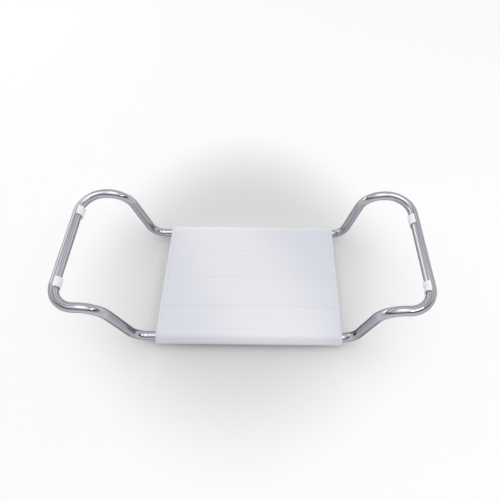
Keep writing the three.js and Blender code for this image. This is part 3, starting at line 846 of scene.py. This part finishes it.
def arm_hole(y):
    """A cutter for one arm's hole, flared a little at the face."""
    deep, clear = CAP_BACK - OVERRUN, CAP_FACE + OVERRUN
    flare = ARM_HOLE + HOLE_EDGE
    profile = [
        (NEAR_AXIS, deep),
        (ARM_HOLE, deep),
        (ARM_HOLE, CAP_FACE - HOLE_EDGE),
        (flare, CAP_FACE),
        (flare, clear),
        (NEAR_AXIS, clear),
    ]
    return turned(profile, Matrix.Translation((0, y, AXIS_Z)) @ ALONG_X.to_4x4())


def end_cap():
    place = Matrix.Translation((CAP_BACK, 0, 0)) @ ALONG_X.to_4x4()
    block = extrusion(cap_outline(), [], 2 * (CAP_FACE - CAP_BACK), CAP_EDGE, place)
    slice_off(block, CAP_BACK)
    return cut(block, [arm_hole(-AXIS_Y), arm_hole(AXIS_Y)])


cap = end_cap()
TO_LEFT_END = Matrix.Translation((2 * SEAT_MIDDLE, 0, 0)) @ HALF_TURN
show("right_end_cap", cap, "deck_plastic", "seat")
show("left_end_cap", cap, "deck_plastic", "seat", TO_LEFT_END)
print("end cap:", len(cap.vertices), "points,", round((CAP_FACE - CAP_BACK) / MM, 2), "mm thick")

# %% [markdown]
# Bushes in the mouths of the guide tubes keep the arms from rattling. Each is a turned
# ring with a small flange. Turning, or spinning a profile round an axis, is the natural
# way to make it.

# %% Turn the mouth bushes
BUSH_GAP = 0.3 * MM
BUSH_BORE = TUBE_RADIUS + BUSH_GAP
BUSH_WALL = 1.45 * MM
GUIDE_WALL = 1.25 * MM
FLANGE = 2 * MM
BUSH_EDGE = 0.4 * MM


def mouth_bush(outer_end, inner_end):
    """A bush along +X from inner_end to outer_end."""
    wall = BUSH_BORE + BUSH_WALL
    rim = wall + BUSH_GAP + GUIDE_WALL
    profile = [
        (BUSH_BORE, inner_end),
        (wall, inner_end),
        (wall, outer_end - FLANGE),
        (rim, outer_end - FLANGE),
        (rim, outer_end - BUSH_EDGE),
        (rim - BUSH_EDGE, outer_end),
        (BUSH_BORE + BUSH_EDGE, outer_end),
        (BUSH_BORE, outer_end - BUSH_EDGE),
    ]
    return turned(profile, ALONG_X.to_4x4())


bush_low, bush_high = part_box("right_front_mouth_bush")
bush = mouth_bush(bush_high.x, bush_low.x)
for side in SIDES:
    for end in ENDS:
        y = -AXIS_Y if end == "front" else AXIS_Y
        place = Matrix.Translation((0, y, AXIS_Z))
        if side == "left":
            place = TO_LEFT_END @ Matrix.Translation((0, -y, AXIS_Z))
        show(f"{side}_{end}_mouth_bush", bush, "bush_plastic", "seat", place)
print("bush bore", round(2 * BUSH_BORE / MM, 2), "mm")

# %% [markdown]
# The clamp knobs
#
# Four knobs stick out under the noses. Turning one drives its stud up against the arm in
# the guide tube. A knob is nearly a turned shape, but its rim swells into six lobes for
# the fingers. So the rings are built like turned ones, with a radius that rises and falls
# round the ring, most at the widest part and not at all at the neck.

# %% Shape a knob
LOBES = 6
LOBE_DEPTH = 1.2 * MM
LOBE_SIDES = 144
KNOB_EDGE = 1.2 * MM
KNOB_NECK = 6 * MM
NECK_HEIGHT = 1 * MM
NECK_ROUND_OUT = 0.6 * MM
NECK_ROUND_UP = 0.4 * MM
SOCKET = 3.3 * MM
SOCKET_DEPTH = 6.5 * MM
DISH_RADIUS_LESS = 4.2 * MM
DISH_RIM_LESS = 3.4 * MM
DISH_DEPTH = 0.5 * MM


def lobed_ring(radius, height, depth):
    """A ring of points whose radius dips by depth between the lobes."""
    ring = []
    for i in range(LOBE_SIDES):
        a = 2 * math.pi * i / LOBE_SIDES
        reach = radius - depth * (0.5 - 0.5 * math.cos(LOBES * a))
        ring.append(Vector((reach * math.cos(a), reach * math.sin(a), height)))
    return ring


def knob(low, high):
    """A knob that fills the box from low to high, with a blind socket in its top."""
    outer = (high.x - low.x) / 2
    bottom, top = low.z, high.z
    shoulder = top - NECK_HEIGHT
    edge, d = KNOB_EDGE, LOBE_DEPTH
    rings = [
        lobed_ring(NEAR_AXIS, bottom + DISH_DEPTH, 0),
        lobed_ring(outer - DISH_RADIUS_LESS, bottom + DISH_DEPTH, 0),
        lobed_ring(outer - DISH_RIM_LESS, bottom, d * 0.3),
        lobed_ring(outer - edge, bottom, d * 0.8),
        lobed_ring(outer - 0.35 * edge, bottom + 0.25 * edge, d),
        lobed_ring(outer, bottom + edge, d),
        lobed_ring(outer, shoulder - edge, d),
        lobed_ring(outer - 0.35 * edge, shoulder - 0.25 * edge, d),
        lobed_ring(outer - edge, shoulder, d * 0.8),
        lobed_ring(KNOB_NECK + NECK_ROUND_OUT, shoulder, 0),
        lobed_ring(KNOB_NECK, shoulder + NECK_ROUND_UP, 0),
        lobed_ring(KNOB_NECK, top, 0),
        lobed_ring(SOCKET, top, 0),
        lobed_ring(SOCKET, top - SOCKET_DEPTH, 0),
        lobed_ring(NEAR_AXIS, top - SOCKET_DEPTH, 0),
    ]
    return skin(rings, ends=True)


knob_low, knob_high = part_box("right_front_clamp_knob")
knob_mesh = knob(knob_low, knob_high)
for side in SIDES:
    for end in ENDS:
        at = middle(f"{side}_{end}_clamp_knob")
        place = Matrix.Translation((at.x, at.y, 0))
        show(f"{side}_{end}_clamp_knob", knob_mesh, "knob_plastic", f"{side}_{end}_lock", place)
knob_size = round((knob_high.x - knob_low.x) / MM, 1)
print("knob:", knob_size, "mm across,", len(knob_mesh.vertices), "points")

# %% [markdown]
# Under the deck
#
# Two steel channels tie the planks together. A channel is bent from strip, so its corners
# are rounded inside and out, and by the thickness of the strip more on the outside. It is
# extruded from its section like a plank, then drilled for the screws.

# %% Bend the cross bars
STRIP = 2 * MM
INNER_BEND = 1 * MM
SCREW_NUMBERS = (1, 2, 3, 4)
ALONG_Y = Matrix((X, Z, Y)).transposed()


def channel_section(low, high):
    """Section of a channel that is open downwards, round its own middle."""
    half, top, bottom = (high.x - low.x) / 2, high.z, low.z
    outer = INNER_BEND + STRIP
    right, left = (half - outer, top - outer), (outer - half, top - outer)
    crown = arc(right, outer, 0, 90, 8) + arc(left, outer, 90, 180, 8)
    left_foot = [(-half, bottom), (STRIP - half, bottom)]
    hollow = arc(left, INNER_BEND, 180, 90, 5) + arc(right, INNER_BEND, 90, 0, 5)
    right_foot = [(half - STRIP, bottom), (half, bottom)]
    return crown + left_foot + hollow + right_foot


def cross_bar(side):
    low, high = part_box(f"{side}_cross_bar")
    place = Matrix.Translation(((low.x + high.x) / 2, 0, 0)) @ ALONG_Y.to_4x4()
    bar = extrusion(channel_section(low, high), [], high.y - low.y, END_EDGE, place)
    screws = [middle(f"{side}_bar_screw_{number}") for number in SCREW_NUMBERS]
    return cut(bar, [drill(SCREW_HOLE, at, low.z, high.z + 1 * MM) for at in screws])


for side in SIDES:
    bar = cross_bar(side)
    show(f"{side}_cross_bar", bar, "zinc_steel", "seat")
print("cross bar:", len(bar.vertices), "points")

# %% [markdown]
# The screws have a domed head with a cross recess and a coarse thread for plastic, the
# clamp studs a fine one for the weld nuts. A true thread is a helix. At this size rings
# that go in and out look the same, and they can be turned like the rest.

# %% Turn the screws and studs
HEAD_HEIGHT = 2.4
HEAD_PROFILE = [
    (0.01, -HEAD_HEIGHT), (1.8, -HEAD_HEIGHT), (2.9, -2.2), (3.6, -1.75),
    (3.95, -1.1), (4, -0.2), (3.85, 0),
]
TIP_PROFILE = [(1.3, 10.2), (0.01, 12)]
RECESS_ARMS = ((4.4, 0.9, 2.4), (0.9, 4.4, 2.4))
STUD_EDGE = 0.8 * MM
STUD_TIP = 2.2 * MM
FASTENER_SIDES = 40


def thread(radius, depth, pitch, low, high):
    """Crests and roots of a thread from low to high."""
    points = []
    for i in range(round((high - low) / pitch)):
        points += [(radius - depth, low + i * pitch), (radius, low + (i + 0.5) * pitch)]
    return points + [(radius - depth, high)]


def bar_screw():
    """A pan-head screw that points up, with the underside of its head at the origin."""
    profile = [(r * MM, z * MM) for r, z in HEAD_PROFILE]
    profile += thread(2 * MM, 0.5 * MM, 1.4 * MM, 0.2 * MM, 9.2 * MM)
    profile += [(r * MM, z * MM) for r, z in TIP_PROFILE]
    arms = []
    for size in RECESS_ARMS:
        shape = bmesh.new()
        place = Matrix.Translation((0, 0, -HEAD_HEIGHT * MM)) @ Matrix.Diagonal((*size, 1 / MM)) * MM
        bmesh.ops.create_cube(shape, size=1, matrix=place)
        arms.append(bpy.data.meshes.new("recess"))
        shape.to_mesh(arms[-1])
        shape.free()
    return cut(turned(profile, sides=FASTENER_SIDES), arms)


def clamp_stud(length):
    """A threaded stud that stands on the origin, with a plain tip at each end."""
    profile = [(NEAR_AXIS, 0), (STUD_TIP, 0)]
    profile += thread(3 * MM, 0.45 * MM, 1 * MM, STUD_EDGE, length - STUD_EDGE)
    profile += [(STUD_TIP, length), (NEAR_AXIS, length)]
    return turned(profile, sides=FASTENER_SIDES)


screw = bar_screw()
stud_low, stud_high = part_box("right_front_clamp_stud")
stud = clamp_stud(stud_high.z - stud_low.z)
for side in SIDES:
    for number in SCREW_NUMBERS:
        node = f"{side}_bar_screw_{number}"
        at = middle(node)
        head_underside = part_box(node)[0].z + HEAD_HEIGHT * MM
        place = Matrix.Translation((at.x, at.y, head_underside))
        show(node, screw, "screw_steel", "seat", place)
    for end in ENDS:
        at = middle(f"{side}_{end}_clamp_stud")
        place = Matrix.Translation((at.x, at.y, stud_low.z))
        show(f"{side}_{end}_clamp_stud", stud, "screw_steel", f"{side}_{end}_lock", place)
print("screw:", len(screw.vertices), "points; stud:", len(stud.vertices), "points")

# %% [markdown]
# The pieces that stay as they are
#
# Guide tubes, weld nuts and glides sit inside other pieces and hardly show. Their solids
# have the right shape already, so they keep it. They get a finish, and a small bevel that
# breaks their sharp edges as deburring does.

# %% Finish the solids that stay
shown_solids = []
for row in frame["record"]["subparts"]:
    solid = frame["nodes"][row["node"]]
    if solid.hide_render:
        continue
    solid.data.materials.clear()
    solid.data.materials.append(finishes[row["material_slot"]])
    round_edges(solid, "broken edges", 0.2 * MM, segments=2, degrees=40)
    shown_solids.append(row["node"])
print("kept as solids:", ", ".join(shown_solids))

# %% [markdown]
# Floor and light
#
# The floor is plain and pale. It stays a real surface, so it keeps the seat's shadow and
# gives the tubes something to mirror from below. Its colour is painted a little greyer near
# the seat, as painted shade round the seat, and white further out. The grey is in the
# colour and not from less light.

# %% Lay the floor
FLOOR_HALF = 6.0
SHADE_CENTRE = (-0.02, 0.085, 0)
SHADE_STRETCH = (1.6, 1.35, 1)


def floor_finish():
    finish = Finish("floor paper", (0.85, 0.84, 0.845), 0.9)
    finish.shader.inputs["Specular IOR Level"].default_value = 0.2
    centred = finish.nodes.new("ShaderNodeVectorMath")
    centred.operation = "SUBTRACT"
    centred.inputs[1].default_value = SHADE_CENTRE
    finish.links.new(finish.space(SHADE_STRETCH), centred.inputs[0])
    distance = finish.nodes.new("ShaderNodeVectorMath")
    distance.operation = "LENGTH"
    finish.links.new(centred.outputs[0], distance.inputs[0])
    # painted shade: the colour is greyer near the seat and white further out
    painted_light_blend = smooth_rise(finish.tree, distance.outputs["Value"], 0.26, 0.68)
    finish.colours(painted_light_blend, (0.705, 0.69, 0.69), (0.99, 0.99, 0.99))
    return finish.material


def card(name, half_x, half_y, matrix, material):
    """A flat sheet for the set, which isn't part of the object."""
    corners = [(-half_x, -half_y, 0), (half_x, -half_y, 0), (half_x, half_y, 0), (-half_x, half_y, 0)]
    mesh = bpy.data.meshes.new(name)
    mesh.from_pydata(corners, [], [(0, 1, 2, 3)])
    sheet = bpy.data.objects.new(name, mesh)
    sheet.matrix_world = matrix
    bpy.context.scene.collection.objects.link(sheet)
    mesh.materials.append(material)
    sheet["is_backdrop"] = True


card("floor", FLOOR_HALF, FLOOR_HALF, Matrix.Identity(4), floor_finish())

# %% [markdown]
# The polished tubes mirror two long, narrow lamps as bright lines. One lamp hangs high
# up on the right, a little in front, and the other on the left, behind the seat. They are
# weak, so that the white deck and the clips don't burn out.

# %% Hang the lamps
def lamp(name, place, target, width, height, power):
    """A rectangular lamp at place that shines at target. Sizes in metres, power in watts."""
    light = bpy.data.lights.new(name, "AREA")
    light.shape = "RECTANGLE"
    light.size = width
    light.size_y = height
    light.energy = power
    holder = bpy.data.objects.new(name, light)
    holder.location = place
    holder.rotation_euler = (Vector(target) - Vector(place)).to_track_quat("-Z", "Y").to_euler()
    bpy.context.scene.collection.objects.link(holder)


lamp("key", (1.3, -0.55, 2.0), (0, 0, 0), width=1.1, height=0.16, power=3.5)
lamp("left strip", (-2.2, 1.5, 1.0), (0.3, 0, 0.1), width=1.6, height=0.42, power=5)

# %% [markdown]
# The rest of the light comes from all round, in bands of height. Chrome mirrors them as
# pale and dark stripes along the tube: pale near the horizon, dark halfway up, and
# brightest overhead. The pale low bands are also the backdrop of any view from low down.
# In front, where the seat is seen from, the light is a little darker than in the rear.
# Each band is a height, 0 at the horizon and 1 straight up, and its brightness there.

# %% Set the surrounding light
REAR_BANDS = [
    (0, 1), (0.36, 0.92), (0.45, 0.26), (0.51, 0.36), (0.58, 1.25),
    (0.68, 1.05), (0.82, 0.5), (0.9, 1.15), (0.95, 2.0), (1, 2.3),
]
FRONT_BANDS = [
    (0, 0.85), (0.32, 0.72), (0.42, 0.16), (0.6, 0.12),
    (0.7, 0.5), (0.8, 0.9), (0.9, 1.4), (1, 2.3),
]
BRIGHTEST = 2.4


def studio_world():
    world = bpy.data.worlds.new("studio")
    bpy.context.scene.world = world
    world.use_nodes = True
    tree = world.node_tree
    nodes, links = tree.nodes, tree.links
    nodes.clear()
    output = nodes.new("ShaderNodeOutputWorld")
    light = nodes.new("ShaderNodeBackground")
    place = nodes.new("ShaderNodeTexCoord")
    split = nodes.new("ShaderNodeSeparateXYZ")
    links.new(place.outputs["Generated"], split.inputs[0])

    def bands(stops):
        """Brightness against height."""
        ramp = nodes.new("ShaderNodeValToRGB")
        marks = ramp.color_ramp.elements
        while len(marks) < len(stops):
            marks.new(0.5)
        for mark, (height, level) in zip(marks, stops):
            mark.position = height
            mark.color = (*[level / BRIGHTEST] * 3, 1)
        links.new(split.outputs["Z"], ramp.inputs[0])
        return ramp.outputs["Color"]

    towards_rear = smooth_rise(tree, split.outputs["Y"], -0.25, 0.3)
    both = colour_blend(tree, towards_rear, bands(FRONT_BANDS), bands(REAR_BANDS))
    links.new(both, light.inputs["Color"])
    light.inputs["Strength"].default_value = BRIGHTEST
    links.new(light.outputs[0], output.inputs["Surface"])


studio_world()

# %% [markdown]
# The camera
#
# The photograph was taken from in front and well above, with a fairly short lens: the
# front edge of the deck is clearly longer than the rear one. The camera's place, tilt and
# lens come from fitting the corners of the deck and the bends of the tubes.

# %% Place the camera
PHOTO_WIDTH = 500
FOCAL_PIXELS = 381.9
CENTRE_X_PIXELS = 262.35
CENTRE_Y_PIXELS = 248.3
PITCH_DEGREES = 58.39
YAW_DEGREES = -0.80
ROLL_DEGREES = -0.16
CAMERA_FROM_SEAT = Vector((33.4, -405.3, 789.4)) * MM


def photo_camera():
    data = bpy.data.cameras.new("camera")
    camera = bpy.data.objects.new("camera", data)
    bpy.context.scene.collection.objects.link(camera)
    data.sensor_width = 36
    data.lens = FOCAL_PIXELS * data.sensor_width / PHOTO_WIDTH
    data.shift_x = (PHOTO_WIDTH / 2 - CENTRE_X_PIXELS) / PHOTO_WIDTH
    data.shift_y = (CENTRE_Y_PIXELS - PHOTO_WIDTH / 2) / PHOTO_WIDTH
    pitch, yaw = math.radians(PITCH_DEGREES), math.radians(YAW_DEGREES)
    level = math.cos(pitch)
    ahead = Vector((math.sin(yaw) * level, math.cos(yaw) * level, -math.sin(pitch)))
    right = ahead.cross(Z).normalized()
    up = right.cross(ahead)
    turn = Matrix((right, up, -ahead)).transposed()
    roll = Matrix.Rotation(math.radians(ROLL_DEGREES), 3, "Z")
    camera.matrix_world = Matrix.LocRotScale(
        CAMERA_FROM_SEAT + Vector((SEAT_MIDDLE, 0, DECK_TOP)), (turn @ roll).to_quaternion(), None)
    bpy.context.scene.camera = camera
    return camera


camera = photo_camera()
bpy.context.scene.view_settings.view_transform = "Standard"
print("camera", tuple(round(v, 4) for v in camera.location), "lens", round(camera.data.lens, 2))

# %% [markdown]
# Last, the size of the dressed seat is written beside the size of the solids, so that
# the two can be compared: finished pieces must stay inside the box of the solids.

# %% Write the sizes and finish
seen_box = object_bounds()
for name, (low, high) in (("solids", solid_box), ("dressed", seen_box)):
    print(name, [round(v / MM, 2) for v in low], [round(v / MM, 2) for v in high])
